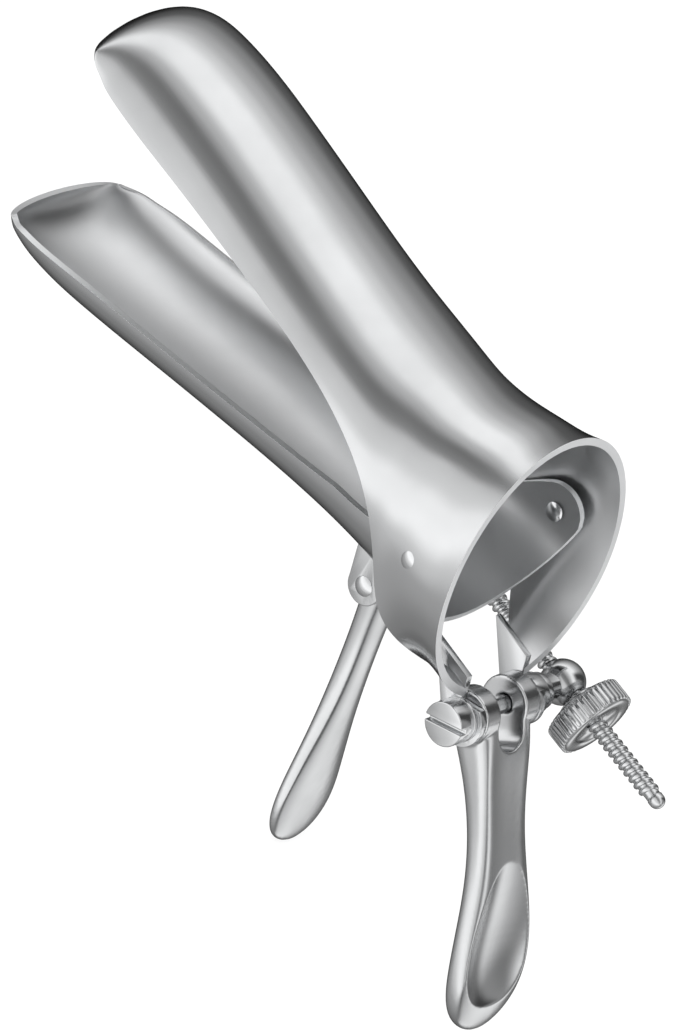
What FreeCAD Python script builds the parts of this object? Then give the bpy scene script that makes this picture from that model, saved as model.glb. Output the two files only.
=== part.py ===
"""Bivalve speculum in millimetres: X to the instrument's right, Y forward along the upper blade, Z up.
The origin lies midway between the two rivets that the lower valve turns on.
The rest pose has the valves part open, as held by the screw and nut."""
import FreeCAD
import Part
import Sketcher
import math
import os

Vector = FreeCAD.Vector
doc = FreeCAD.newDocument("BivalveSpeculum")
os.makedirs("parts", exist_ok=True)

# Driving sizes
sizes = {
    "blade_length": 98.4,
    "lower_length": 95.1,
    "blade_round": 19.0,
    "upper_wall": 1.3,
    "lower_wall": 1.0,
    "opening_angle": 17.0,
    "collar_half": 20.1,
    "rim_flare": 2.1,
    "valve_gap": 0.9,
    "ear_round": 5.0,
    "rivet_shank": 2.2,
    "rivet_head": 3.2,
    "rivet_head_rise": 0.4,
    "turning_gap": 0.05,
    "hinge_back": 19.4,
    "hinge_drop": 19.7,
    "hinge_shank": 3.0,
    "hinge_journal": 2.2,
    "journal_length": 2.8,
    "lug_wall": 1.3,
    "lug_eye": 8.8,
    "side_gap": 0.1,
    "fork_width": 13.6,
    "fork_gap": 6.4,
    "fork_ear": 9.0,
    "notch_depth": 6.8,
    "dish_rise": 15.0,
    "head_diameter": 7.2,
    "head_length": 3.4,
    "slot_width": 0.9,
    "slot_depth": 1.3,
    "washer_diameter": 7.3,
    "washer_wall": 0.7,
    "ring_diameter": 6.8,
    "ring_length": 2.6,
    "post_flange": 6.0,
    "post_flange_wall": 1.4,
    "post_neck": 4.2,
    "ball_diameter": 7.4,
    "rod_side": 18.4,
    "rod_diameter": 3.0,
    "rod_length": 50.0,
    "rod_play": 0.6,
    "stop_length": 1.6,
    "eye_diameter": 6.4,
    "eye_wall": 2.4,
    "nut_diameter": 13.4,
    "nut_wall": 4.4,
    "nut_edge": 0.5,
    "nut_hub": 7.0,
    "nut_hub_length": 1.0,
    "nut_recess": 8.0,
    "nut_recess_depth": 0.6,
    "knurl_count": 40.0,
    "knurl_round": 0.35,
    "pin_forward": 12.9,
    "pin_drop": 17.9,
    "pin_diameter": 2.4,
    "pin_head": 3.4,
    "pin_head_rise": 0.6,
    "cheek_inside": 4.6,
    "cheek_wall": 1.6,
    "cheek_eye": 6.4,
    "spacer_diameter": 3.8,
    "lever_length": 49.3,
    "lever_lean": 20.0,
    "lever_knuckle": 5.6,
}
sheet = doc.addObject("Spreadsheet::Sheet", "Sizes")
for row, (alias, value) in enumerate(sizes.items(), start=1):
    sheet.set("A%d" % row, alias)
    sheet.set("B%d" % row, str(value))
    sheet.setAlias("B%d" % row, alias)
doc.recompute()


def size(alias):
    """One driving size, read back from the sheet."""
    return float(sheet.get(alias))


def turned_back(forward, rise, degrees):
    """A side-view point after a turn about the X axis that lowers its front."""
    angle = math.radians(degrees)
    return (forward * math.cos(angle) + rise * math.sin(angle),
            -forward * math.sin(angle) + rise * math.cos(angle))


# Side-view places that several pieces share
opening = size("opening_angle")
hinge_y = -size("hinge_back")
hinge_z = -size("hinge_drop")
pin_y, pin_z = turned_back(size("pin_forward"), -size("pin_drop"), opening)
rod_angle = math.degrees(math.atan2(hinge_z - pin_z, hinge_y - pin_y))

nodes = []


def keep(item, label):
    """Name a finished piece; its label is also its file name."""
    item.Label = label
    nodes.append(item)
    return item


# Double-curved sheets, as stamped and hammered from flat metal
def blend(low, high, share):
    return low + (high - low) * share


def section_points(station, count):
    """Half-round section from the left edge over the crown to the right edge.
    It lies in the plane through the crown and edge points, square to the side view."""
    (crown_y, crown_z), (edge_y, edge_z), half_width, crown_depth, edge_turn = station
    depth = math.hypot(edge_y - crown_y, edge_z - crown_z)
    down = ((edge_y - crown_y) / depth, (edge_z - crown_z) / depth)
    if depth <= crown_depth:
        end = math.acos(1 - depth / crown_depth)
        lower_depth = crown_depth
    else:
        end = math.radians(edge_turn)
        lower_depth = (crown_depth - depth) / math.cos(end)
    points = []
    for step in range(count):
        turn = blend(-end, end, step / (count - 1))
        below = crown_depth * (1 - math.cos(turn))
        if abs(turn) > math.pi / 2:
            below = crown_depth - lower_depth * math.cos(turn)
        points.append(Vector(half_width * math.sin(turn), crown_y + down[0] * below, crown_z + down[1] * below))
    return points


def curve_values(knots, values, places):
    """Natural cubic curve through values at knots, read at places."""
    gaps = [after - before for before, after in zip(knots, knots[1:])]
    slopes = [(after - before) / gap for before, after, gap in zip(values, values[1:], gaps)]
    ratios, carried, bends = ([0.0] * len(knots) for _ in range(3))
    for index in range(1, len(knots) - 1):
        pivot = 2 * (gaps[index - 1] + gaps[index]) - gaps[index - 1] * ratios[index - 1]
        ratios[index] = gaps[index] / pivot
        pull = 6 * (slopes[index] - slopes[index - 1])
        carried[index] = (pull - gaps[index - 1] * carried[index - 1]) / pivot
    for index in range(len(knots) - 2, 0, -1):
        bends[index] = carried[index] - ratios[index] * bends[index + 1]
    read = []
    for place in places:
        spot = max(index for index in range(len(gaps)) if index == 0 or knots[index] <= place)
        ahead = (knots[spot + 1] - place) / gaps[spot]
        behind = 1 - ahead
        bend = (ahead ** 3 - ahead) * bends[spot] + (behind ** 3 - behind) * bends[spot + 1]
        read.append(ahead * values[spot] + behind * values[spot + 1] + bend * gaps[spot] ** 2 / 6)
    return read


def between_stations(stations, count):
    """Evenly spaced stations on smooth curves through the drawn ones."""
    table = [(*crown, *edge, *rest) for crown, edge, *rest in stations]
    knots = [0.0]
    for before, after in zip(table, table[1:]):
        crown_step = math.hypot(after[0] - before[0], after[1] - before[1])
        edge_step = math.hypot(after[2] - before[2], after[3] - before[3])
        knots.append(knots[-1] + (crown_step + edge_step) / 2)
    places = [knots[-1] * step / (count - 1) for step in range(count)]
    columns = [curve_values(knots, list(values), places) for values in zip(*table)]
    return [(row[0:2], row[2:4], *row[4:]) for row in zip(*columns)]


def smooth_surface(rows):
    """Cubic surface with the rows' points as its net."""
    spans = [len(rows) - 3, len(rows[0]) - 3]
    repeats = [[4] + [1] * (span - 1) + [4] for span in spans]
    knots = [[float(number) for number in range(span + 1)] for span in spans]
    surface = Part.BSplineSurface()
    surface.buildFromPolesMultsKnots(rows, repeats[0], repeats[1], knots[0], knots[1], False, False, 3, 3)
    return surface


def inward(rows, row, column):
    """Unit normal of the net at one point, towards the inside of the half-round section."""
    last_row, last_column = len(rows) - 1, len(rows[0]) - 1
    along = rows[min(row + 1, last_row)][column] - rows[max(row - 1, 0)][column]
    across = rows[row][min(column + 1, last_column)] - rows[row][max(column - 1, 0)]
    normal = along.cross(across).normalize()
    crown, left_edge = rows[row][last_column // 2], rows[row][0]
    mouth = Vector(0, left_edge.y, left_edge.z)
    crown_along = rows[min(row + 1, last_row)][last_column // 2] - rows[max(row - 1, 0)][last_column // 2]
    crown_normal = crown_along.cross(Vector(1, 0, 0))
    return normal if crown_normal.dot(mouth - crown) > 0 else normal * -1


def sheet_solid(stations, wall, row_count=46, column_count=29):
    """Sheet of one wall thickness whose outer face runs through the stations' sections."""
    rows = [section_points(station, column_count) for station in between_stations(stations, row_count)]
    inner_rows = [
        [point + inward(rows, row, column) * wall for column, point in enumerate(points)]
        for row, points in enumerate(rows)
    ]
    outer, inner = smooth_surface(rows), smooth_surface(inner_rows)
    faces = [outer.toShape(), inner.toShape()]
    u1, u2, v1, v2 = outer.bounds()
    for cut_outer, cut_inner in (
        (outer.uIso(u1), inner.uIso(u1)),
        (outer.uIso(u2), inner.uIso(u2)),
        (outer.vIso(v1), inner.vIso(v1)),
        (outer.vIso(v2), inner.vIso(v2)),
    ):
        faces.append(Part.makeRuledSurface(cut_outer.toShape(), cut_inner.toShape()))
    shell = Part.makeShell(faces)
    shell.sewShape()
    solid = Part.makeSolid(shell)
    if solid.Volume < 0:
        solid.reverse()
    return solid


def side_prism(points):
    """Prism of a side-view outline, through more than the whole width."""
    reach = 2 * size("collar_half")
    corners = [Vector(-reach, y, z) for y, z in points]
    face = Part.Face(Part.makePolygon(corners + corners[:1]))
    return face.extrude(Vector(2 * reach, 0, 0))


def x_rod(diameter, start, end, y, z):
    """Round bar along X."""
    return Part.makeCylinder(diameter / 2, end - start, Vector(start, y, z), Vector(1, 0, 0))


def stretched(stations, length):
    """Stations with the part ahead of the collar drawn out to a valve's length."""
    drawn = stations[-1][0][0]
    stretch = (length - drawn) / (drawn - collar_front)
    longer = []
    for crown, edge, *rest in stations:
        moved = [(y + max(0.0, y - collar_front) * stretch, z) for y, z in (crown, edge)]
        longer.append((*moved, *rest))
    return longer


# Upper valve: blade and collar in one sheet.
# A station is crown (y, z), edge (y, z), half width, crown depth and the turn in degrees where the edge lies.
collar_half = size("collar_half")
blade_half = size("blade_round")
upper_wall = size("upper_wall")
collar_front = 20.0
rim_top = (0.2, 23.7)
rim_foot = (-17.2, -16.6)
rim_length = math.hypot(rim_top[0] - rim_foot[0], rim_top[1] - rim_foot[1])
rim_up = ((rim_top[0] - rim_foot[0]) / rim_length, (rim_top[1] - rim_foot[1]) / rim_length)
rim_back = (-rim_up[1], rim_up[0])
upper_stations = [
    ((rim_top[0] - 1.4, rim_top[1] + 1.1), (rim_foot[0] - 1.4, rim_foot[1] - 0.3),
     collar_half + size("rim_flare"), 24.2, 160.0),
    ((3.2, 22.0), (-12.4, -16.5), collar_half + 1.0, 23.2, 155.0),
    ((7.2, 20.1), (-6.6, -15.5), collar_half + 0.3, 21.8, 137.0),
    ((11.4, 18.2), (-1.0, -12.3), blend(blade_half, collar_half, 0.75), 20.3, 116.0),
    ((16.0, 16.4), (4.6, -6.4), blend(blade_half, collar_half, 0.5), 19.4, 100.0),
    ((21.5, 15.1), (11.6, -0.9), blend(blade_half, collar_half, 0.25), 19.4, 90.0),
    ((29.0, 14.2), (21.6, 2.9), blend(blade_half, collar_half, 0.1), 17.6, 90.0),
    ((40.0, 13.9), (36.0, 4.5), blade_half + 0.2, 17.2, 90.0),
    ((55.0, 14.4), (54.0, 4.8), blade_half + 0.3, 17.4, 90.0),
    ((70.0, 15.0), (70.0, 4.7), blade_half + 0.3, 17.9, 90.0),
    ((82.0, 14.9), (81.5, 4.4), blade_half + 0.3, 18.2, 90.0),
    ((89.2, 13.7), (88.4, 4.2), blade_half - 0.1, 17.2, 90.0),
    ((93.8, 11.7), (92.8, 4.2), blade_half - 1.4, 13.6, 90.0),
    ((96.6, 9.2), (95.6, 4.3), blade_half - 3.8, 8.6, 90.0),
    ((98.0, 7.0), (97.2, 4.5), blade_half - 7.0, 4.2, 90.0),
    ((98.4, 5.3), (98.1, 4.7), blade_half - 11.5, 0.9, 90.0),
]
upper_solid = sheet_solid(stretched(upper_stations, size("blade_length")), upper_wall)


def behind_plane(start):
    """Side-view outline of all that lies behind the rim's plane, from a height along it upwards."""
    past = 2 * collar_half
    low = (rim_foot[0] + rim_up[0] * start, rim_foot[1] + rim_up[1] * start)
    high = (rim_top[0] + rim_up[0] * past, rim_top[1] + rim_up[1] * past)
    return [low, high,
            (high[0] + rim_back[0] * past, high[1] + rim_back[1] * past),
            (low[0] + rim_back[0] * past, low[1] + rim_back[1] * past)]


upper_solid = upper_solid.cut(side_prism(behind_plane(-2 * collar_half)))


def wall_span(solid):
    """Inside and outside of a valve's right wall on the rivet axis."""
    run = solid.common(Part.makeLine(Vector(0, 0, 0), Vector(2 * collar_half, 0, 0)))
    return run.BoundBox.XMin, run.BoundBox.XMax


collar_inside, collar_outside = wall_span(upper_solid)

# Lower valve, drawn with the valves closed and then turned open; its crown is the trough's bottom
ear_half = collar_inside - size("valve_gap")
lower_stations = [
    ((-7.0, -16.0), (-7.0, 6.0), ear_half - 0.2, 16.3, 106.0),
    ((-1.0, -15.5), (-1.0, 6.0), ear_half, 15.8, 106.0),
    ((5.0, -14.4), (5.0, 4.6), ear_half - 0.4, 14.8, 105.0),
    ((12.0, -12.9), (12.0, 1.2), ear_half - 0.9, 13.6, 100.0),
    ((20.0, -11.7), (20.0, -0.4), ear_half - 1.3, 12.6, 90.0),
    ((30.0, -10.8), (30.0, -0.8), ear_half - 1.5, 11.6, 90.0),
    ((45.0, -10.2), (45.0, -0.9), ear_half - 1.5, 10.8, 90.0),
    ((60.0, -10.0), (60.0, -0.8), ear_half - 1.5, 10.4, 90.0),
    ((75.0, -9.8), (75.0, -0.7), ear_half - 1.5, 10.2, 90.0),
    ((84.0, -8.8), (84.0, -0.8), ear_half - 1.6, 9.2, 90.0),
    ((89.2, -7.1), (89.2, -0.9), ear_half - 2.5, 7.2, 90.0),
    ((92.6, -5.0), (92.6, -1.0), ear_half - 4.5, 4.6, 90.0),
    ((94.4, -3.0), (94.4, -1.1), ear_half - 7.6, 2.3, 90.0),
    ((95.1, -1.7), (95.1, -1.2), ear_half - 11.5, 0.6, 90.0),
]
lower_solid = sheet_solid(stretched(lower_stations, size("lower_length")), size("lower_wall"))
ear = size("ear_round")
trim_foot = (-0.6, -19.0)
rear_edge = Part.BSplineCurve()
rear_edge.interpolate([Vector(0, *trim_foot), Vector(0, -1.8, -12), Vector(0, -3.4, -6), Vector(0, -ear, 0)])
ear_top = Vector(0, ear * math.cos(math.radians(60)), ear * math.sin(math.radians(60)))
ear_arc = Part.Arc(Vector(0, -ear, 0), Vector(0, -ear * math.cos(math.radians(60)), ear_top.z), ear_top)
neck_edge = Part.BSplineCurve()
neck_edge.interpolate([ear_top, Vector(0, 5.2, 2.4), Vector(0, 8.1, 0.25), Vector(0, 11, -0.45), Vector(0, 14, -0.6),
                       Vector(0, 20, -0.3), Vector(0, 30, 0.3)])
front = size("lower_length") + ear
ear_wire = Part.Wire([
    rear_edge.toShape(),
    ear_arc.toShape(),
    neck_edge.toShape(),
    Part.makeLine(Vector(0, 30, 0.3), Vector(0, front, ear)),
    Part.makeLine(Vector(0, front, ear), Vector(0, front, trim_foot[1])),
    Part.makeLine(Vector(0, front, trim_foot[1]), Vector(0, *trim_foot)),
])
ear_face = Part.Face(ear_wire)
ear_face.translate(Vector(-collar_half, 0, 0))
lower_solid = lower_solid.common(ear_face.extrude(Vector(2 * collar_half, 0, 0)))

# Side rivets: shank through both walls, a low domed head at each end
rivet_round = size("rivet_shank") / 2
head_round = size("rivet_head") / 2
head_rise = size("rivet_head_rise")
ear_inside, ear_outside = wall_span(lower_solid)
lower_bore = x_rod(size("rivet_shank") + 2 * size("turning_gap"), -30, 30, 0, 0)
lower_solid = lower_solid.cut(lower_bore)


def domed_rod(shank, head, rise, start, end, y, z):
    """Bar along X with a low domed head at each end, outside start and end."""
    dome = (head ** 2 / 4 + rise ** 2) / (2 * rise)
    bar = x_rod(shank, start, end, y, z)
    for face, low, high, middle in (
        (start, start - rise, start, start - rise + dome),
        (end, end, end + rise, end + rise - dome),
    ):
        cap = Part.makeSphere(dome, Vector(middle, y, z)).common(x_rod(head, low, high, y, z))
        bar = bar.fuse(cap)
    return bar.removeSplitter()


ear_slack = 0.2
rivet_solids = {
    "right_valve_rivet": domed_rod(size("rivet_shank"), size("rivet_head"), head_rise,
                                   ear_inside - ear_slack, collar_outside, 0, 0),
    "left_valve_rivet": domed_rod(size("rivet_shank"), size("rivet_head"), head_rise,
                                  -collar_outside, -ear_inside + ear_slack, 0, 0),
}
for label, solid in rivet_solids.items():
    upper_solid = upper_solid.cut(solid)


def solid_piece(label, solid, placement=None):
    """A sheet or forging as a feature of the document; its place comes after its shape."""
    piece = doc.addObject("Part::Feature", label)
    piece.Shape = solid
    piece.Placement = placement or FreeCAD.Placement()
    return keep(piece, label)


valve_turn = FreeCAD.Placement(Vector(0, 0, 0), FreeCAD.Rotation(Vector(1, 0, 0), -opening))
solid_piece("upper_valve", upper_solid)
solid_piece("lower_valve", lower_solid, valve_turn)
for label, solid in rivet_solids.items():
    solid_piece(label, solid)


def biggest(shape):
    """The largest solid of a cut."""
    return max(shape.Solids, key=lambda solid: solid.Volume)


# Collar lugs: flat cheeks outside the fork, from the collar's lower ends to the hinge screw
fork_half = size("fork_width") / 2
lug_inside = fork_half + size("side_gap")
lug_outside = lug_inside + size("lug_wall")
lug_eye = size("lug_eye") / 2
shank = size("hinge_shank")


def cheek_plate(start, end, y, z, eye_round, outline, bore):
    """Flat plate between two x values: a round eye and a strap, with a bore."""
    corners = [Vector(start, *corner) for corner in outline]
    strap = Part.Face(Part.makePolygon(corners + corners[:1])).extrude(Vector(end - start, 0, 0))
    plate = strap.fuse(x_rod(2 * eye_round, start, end, y, z)).removeSplitter()
    return plate.cut(x_rod(bore, start - 1, end + 1, y, z))


rim_end = -0.7
lug_outline = [
    (hinge_y - lug_eye * 0.9, hinge_z + lug_eye * 0.42),
    (rim_foot[0] + 0.2, rim_foot[1] + 0.6),
    (rim_foot[0] + 1.4, rim_foot[1] + 3.0),
    (rim_foot[0] + 9.6, rim_foot[1] + 3.0),
    (hinge_y + lug_eye * 0.98, hinge_z - lug_eye * 0.15),
    (hinge_y, hinge_z),
]
for label, start in (("right_collar_lug", lug_inside), ("left_collar_lug", -lug_outside)):
    plate = cheek_plate(start, start + size("lug_wall"), hinge_y, hinge_z, lug_eye, lug_outline, shank)
    plate = plate.cut(side_prism(behind_plane(rim_end)))
    solid_piece(label, biggest(plate.cut(upper_solid)))

# Lever cheeks under the lower valve, drawn closed and turned with it
pin = size("pin_diameter")
cheek_eye = size("cheek_eye") / 2
closed_pin = (size("pin_forward"), -size("pin_drop"))
cheek_outline = [
    (closed_pin[0] - cheek_eye, closed_pin[1]),
    (closed_pin[0] - cheek_eye * 1.1, closed_pin[1] + 6.5),
    (closed_pin[0] + cheek_eye * 1.3, closed_pin[1] + 6.5),
    (closed_pin[0] + cheek_eye, closed_pin[1]),
]
cheek_start = size("cheek_inside")
cheek_end = cheek_start + size("cheek_wall")
for label, start in (("right_lever_cheek", cheek_start), ("left_lever_cheek", -cheek_end)):
    plate = cheek_plate(start, start + size("cheek_wall"), closed_pin[0], closed_pin[1],
                        cheek_eye, cheek_outline, pin)
    solid_piece(label, biggest(plate.cut(lower_solid)), valve_turn)

# Forged bars: sections stand square to a centre line in the side view


def bar_section(station, count=20):
    """Closed rounded section; width along X, depths to the front and rear of the centre line."""
    (y, z), lean, width, front_depth, rear_depth, squareness = station
    back = math.radians(lean)
    front_way = Vector(0, math.cos(back), -math.sin(back))
    points = []
    for step in range(count):
        turn = 2 * math.pi * step / count
        across = math.copysign(abs(math.cos(turn)) ** squareness, math.cos(turn)) * width / 2
        through = math.copysign(abs(math.sin(turn)) ** squareness, math.sin(turn))
        through *= front_depth if through > 0 else rear_depth
        points.append(Vector(across, y, z) + front_way * through)
    curve = Part.BSplineCurve()
    curve.interpolate(points, PeriodicFlag=True)
    return Part.Wire(curve.toShape())


def forged_bar(stations):
    return Part.makeLoft([bar_section(station) for station in stations], True)


# Rear handle: a station is place behind and below the hinge, lean, width, front and rear depth, squareness
handle_line = [
    (0.0, 0.0, 50, 12.9, 4.2, 4.2, 0.55),
    (4.2, 3.5, 50, 12.8, 3.9, 3.6, 0.55),
    (8.6, 7.4, 48, 12.0, 3.4, 2.8, 0.6),
    (14.0, 12.8, 45, 11.2, 3.2, 2.3, 0.65),
    (19.0, 18.0, 42, 12.3, 3.3, 2.2, 0.65),
    (24.0, 24.0, 38, 15.4, 3.3, 2.2, 0.65),
    (28.4, 30.3, 33, 17.2, 3.2, 2.1, 0.65),
    (31.0, 35.0, 29, 15.6, 2.8, 1.9, 0.7),
    (32.6, 38.4, 27, 10.4, 2.0, 1.5, 0.8),
    (33.4, 40.0, 27, 3.2, 0.8, 0.7, 1.0),
]
handle_solid = forged_bar([
    ((hinge_y - back, hinge_z - down), lean, width, front_depth, rear_depth, squareness)
    for back, down, lean, width, front_depth, rear_depth, squareness in handle_line
])
ear_bar = x_rod(size("fork_ear"), -fork_half, fork_half, hinge_y, hinge_z)
handle_solid = handle_solid.fuse(ear_bar)
first_lean = math.radians(handle_line[0][2])
along = Vector(0, -math.sin(first_lean), -math.cos(first_lean))
front_way = Vector(0, math.cos(first_lean), -math.sin(first_lean))
hinge = Vector(0, hinge_y, hinge_z)
gap_half = size("fork_gap") / 2
notch_foot = size("notch_depth") - gap_half
slot_face = Part.Face(Part.Wire([
    Part.makeLine(hinge - along * 8 + Vector(-gap_half, 0, 0), hinge - along * 8 + Vector(gap_half, 0, 0)),
    Part.makeLine(hinge - along * 8 + Vector(gap_half, 0, 0), hinge + along * notch_foot + Vector(gap_half, 0, 0)),
    Part.Arc(hinge + along * notch_foot + Vector(gap_half, 0, 0), hinge + along * size("notch_depth"),
             hinge + along * notch_foot + Vector(-gap_half, 0, 0)).toShape(),
    Part.makeLine(hinge + along * notch_foot + Vector(-gap_half, 0, 0), hinge - along * 8 + Vector(-gap_half, 0, 0)),
]))
slot_face.translate(front_way * -10)
handle_solid = handle_solid.cut(slot_face.extrude(front_way * 20))
handle_solid = handle_solid.cut(x_rod(shank + 2 * size("turning_gap"), -20, 20, hinge_y, hinge_z))

# Thumb dish: a teardrop, turned about a line behind the rear face; pairs are place along the line and radius
dish_rise = size("dish_rise")
dish_start = Vector(0, hinge_y - 16.9, hinge_z - 15.3)
dish_lean = math.radians(36)
dish_along = Vector(0, -math.sin(dish_lean), -math.cos(dish_lean))
dish_back = Vector(0, -math.cos(dish_lean), math.sin(dish_lean))
dish_axis = dish_start + dish_back * (dish_rise + 2.2)
dish_line = [(0, 0.0), (4, 0.45), (9, 1.1), (14, 1.7), (18.5, 1.95), (22.5, 1.6), (25.2, 0.8), (26.4, 0.0)]
dish_curve = Part.BSplineCurve()
dish_curve.interpolate([
    dish_axis + dish_along * place - dish_back * (dish_rise + deep) for place, deep in dish_line
])
dish_end = dish_axis + dish_along * dish_line[-1][0]
dish_wire = Part.Wire([
    Part.makeLine(dish_axis, dish_axis - dish_back * dish_rise),
    dish_curve.toShape(),
    Part.makeLine(dish_end - dish_back * dish_rise, dish_end),
    Part.makeLine(dish_end, dish_axis),
])
dish_tool = Part.Face(dish_wire).revolve(dish_axis, dish_along, 360)
handle_solid = biggest(handle_solid.cut(dish_tool))
solid_piece("rear_handle", handle_solid)

# Front lever: a slim finger lever that widens to a paddle; pairs of place along and sizes
lever_lean = math.radians(size("lever_lean"))
lever_line = [
    (0.0, 7.6, 2.4, 2.4, 0.6),
    (6.0, 7.2, 2.1, 2.0, 0.7),
    (14.0, 7.0, 2.0, 1.9, 0.75),
    (24.0, 8.4, 1.9, 1.8, 0.75),
    (33.0, 11.6, 1.8, 1.6, 0.75),
    (40.0, 13.9, 1.7, 1.5, 0.75),
    (44.5, 13.2, 1.5, 1.4, 0.8),
    (47.8, 9.0, 1.2, 1.1, 0.85),
    (49.3, 3.2, 0.6, 0.6, 1.0),
]
lever_share = size("lever_length") / lever_line[-1][0]
lever_solid = forged_bar([
    ((pin_y - math.sin(lever_lean) * place * lever_share, pin_z - math.cos(lever_lean) * place * lever_share),
     size("lever_lean"), width, front_depth, rear_depth, squareness)
    for place, width, front_depth, rear_depth, squareness in lever_line
])
knuckle_half = size("cheek_inside") - size("side_gap")
lever_solid = lever_solid.fuse(x_rod(size("lever_knuckle"), -knuckle_half, knuckle_half, pin_y, pin_z))
lever_solid = lever_solid.cut(x_rod(pin + 2 * size("turning_gap"), -20, 20, pin_y, pin_z))
solid_piece("front_lever", lever_solid)

# Turned pieces: primitives whose sizes are bound to the sheet


def primitive(kind, name, place, turn, **texts):
    """Primitive with sheet expressions for its sizes."""
    item = doc.addObject(kind, name)
    for prop, text in texts.items():
        item.setExpression(prop, text)
    item.Placement = FreeCAD.Placement(place, turn)
    return item


def joined(name, *items):
    whole = doc.addObject("Part::MultiFuse", name)
    whole.Shapes = list(items)
    return whole


def cut(name, base, tool):
    whole = doc.addObject("Part::Cut", name)
    whole.Base = base
    whole.Tool = tool
    return whole


to_right = FreeCAD.Rotation(Vector(0, 1, 0), 90)
rod_way = Vector(0, math.cos(math.radians(rod_angle)), math.sin(math.radians(rod_angle)))
to_rod = FreeCAD.Rotation(Vector(0, 0, 1), rod_way)


def on_hinge(start):
    return Vector(start, hinge_y, hinge_z)


def on_pin(start):
    return Vector(start, pin_y, pin_z)


def sleeve(label, place, outer_text, bore_text, length_text):
    """Plain ring or washer about the X axis."""
    ring = primitive("Part::Cylinder", label + "_outside", place, to_right,
                     Radius=outer_text, Height=length_text)
    bore = primitive("Part::Cylinder", label + "_bore", place, to_right,
                     Radius=bore_text, Height=length_text)
    return keep(cut(label, ring, bore), label)


# Hinge screw: slotted cheese head on the left, plain shank, thin journal on the right for the swivel post
washer_wall = size("washer_wall")
shank_start = -(lug_outside + washer_wall)
ring_end = lug_outside + size("ring_length")
head = primitive("Part::Cylinder", "ScrewHead", on_hinge(shank_start - size("head_length")), to_right,
                 Radius="Sizes.head_diameter / 2", Height="Sizes.head_length")
shank_bar = primitive("Part::Cylinder", "ScrewShank", on_hinge(shank_start), to_right,
                      Radius="Sizes.hinge_shank / 2",
                      Height="2 * (Sizes.fork_width / 2 + Sizes.side_gap + Sizes.lug_wall)"
                             " + Sizes.washer_wall + Sizes.ring_length")
journal = primitive("Part::Cylinder", "ScrewJournal", on_hinge(ring_end), to_right,
                    Radius="Sizes.hinge_journal / 2", Height="Sizes.journal_length")
doc.recompute()
screw_blank = joined("ScrewBlank", head, shank_bar, journal)
slot_turn = FreeCAD.Rotation(Vector(1, 0, 0), -30)
slot_corner = slot_turn.multVec(Vector(0, -size("head_diameter"), -size("slot_width") / 2))
slot = primitive("Part::Box", "ScrewSlot", on_hinge(shank_start - size("head_length")) + slot_corner, slot_turn,
                 Length="Sizes.slot_depth", Width="2 * Sizes.head_diameter", Height="Sizes.slot_width")
keep(cut("HingeScrew", screw_blank, slot), "hinge_screw")
sleeve("screw_washer", on_hinge(shank_start), "Sizes.washer_diameter / 2", "Sizes.hinge_shank / 2",
       "Sizes.washer_wall")
sleeve("lock_ring", on_hinge(lug_outside), "Sizes.ring_diameter / 2", "Sizes.hinge_shank / 2",
       "Sizes.ring_length")

# Swivel post: flange, neck and drilled ball, free to turn on the screw's journal
post_start = ring_end + size("turning_gap")
rod_side = size("rod_side")
flange = primitive("Part::Cylinder", "PostFlange", on_hinge(post_start), to_right,
                   Radius="Sizes.post_flange / 2", Height="Sizes.post_flange_wall")
neck = primitive("Part::Cylinder", "PostNeck", on_hinge(post_start), to_right,
                 Radius="Sizes.post_neck / 2",
                 Height="Sizes.rod_side - (Sizes.fork_width / 2 + Sizes.side_gap + Sizes.lug_wall"
                        " + Sizes.ring_length + Sizes.turning_gap)")
ball = primitive("Part::Sphere", "PostBall", on_hinge(rod_side), to_right, Radius="Sizes.ball_diameter / 2")
post_blank = joined("PostBlank", flange, neck, ball)
post_bore = primitive("Part::Cylinder", "PostBore", on_hinge(ring_end - 1), to_right,
                      Radius="Sizes.hinge_journal / 2 + Sizes.turning_gap",
                      Height="Sizes.journal_length + 1 + Sizes.turning_gap")
rod_hole = primitive("Part::Cylinder", "PostRodHole", on_hinge(rod_side) - rod_way * size("ball_diameter"), to_rod,
                     Radius="Sizes.rod_diameter / 2 + Sizes.rod_play", Height="2 * Sizes.ball_diameter")
keep(cut("SwivelPost", cut("PostBored", post_blank, post_bore), rod_hole), "swivel_post")

# Lever pin with its spacer, and the rod's eye on the pin's long right end
eye_start = rod_side - size("eye_wall") / 2
pin_end = rod_side + size("eye_wall") / 2 + size("turning_gap")
solid_piece("lever_pin", domed_rod(pin, size("pin_head"), size("pin_head_rise"), -cheek_end, pin_end, pin_y, pin_z))
sleeve("rod_spacer", on_pin(cheek_end), "Sizes.spacer_diameter / 2", "Sizes.pin_diameter / 2",
       "Sizes.rod_side - Sizes.eye_wall / 2 - Sizes.turning_gap - Sizes.cheek_inside - Sizes.cheek_wall")
sleeve("rod_eye", on_pin(eye_start), "Sizes.eye_diameter / 2", "Sizes.pin_diameter / 2 + Sizes.turning_gap",
       "Sizes.eye_wall")

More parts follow.
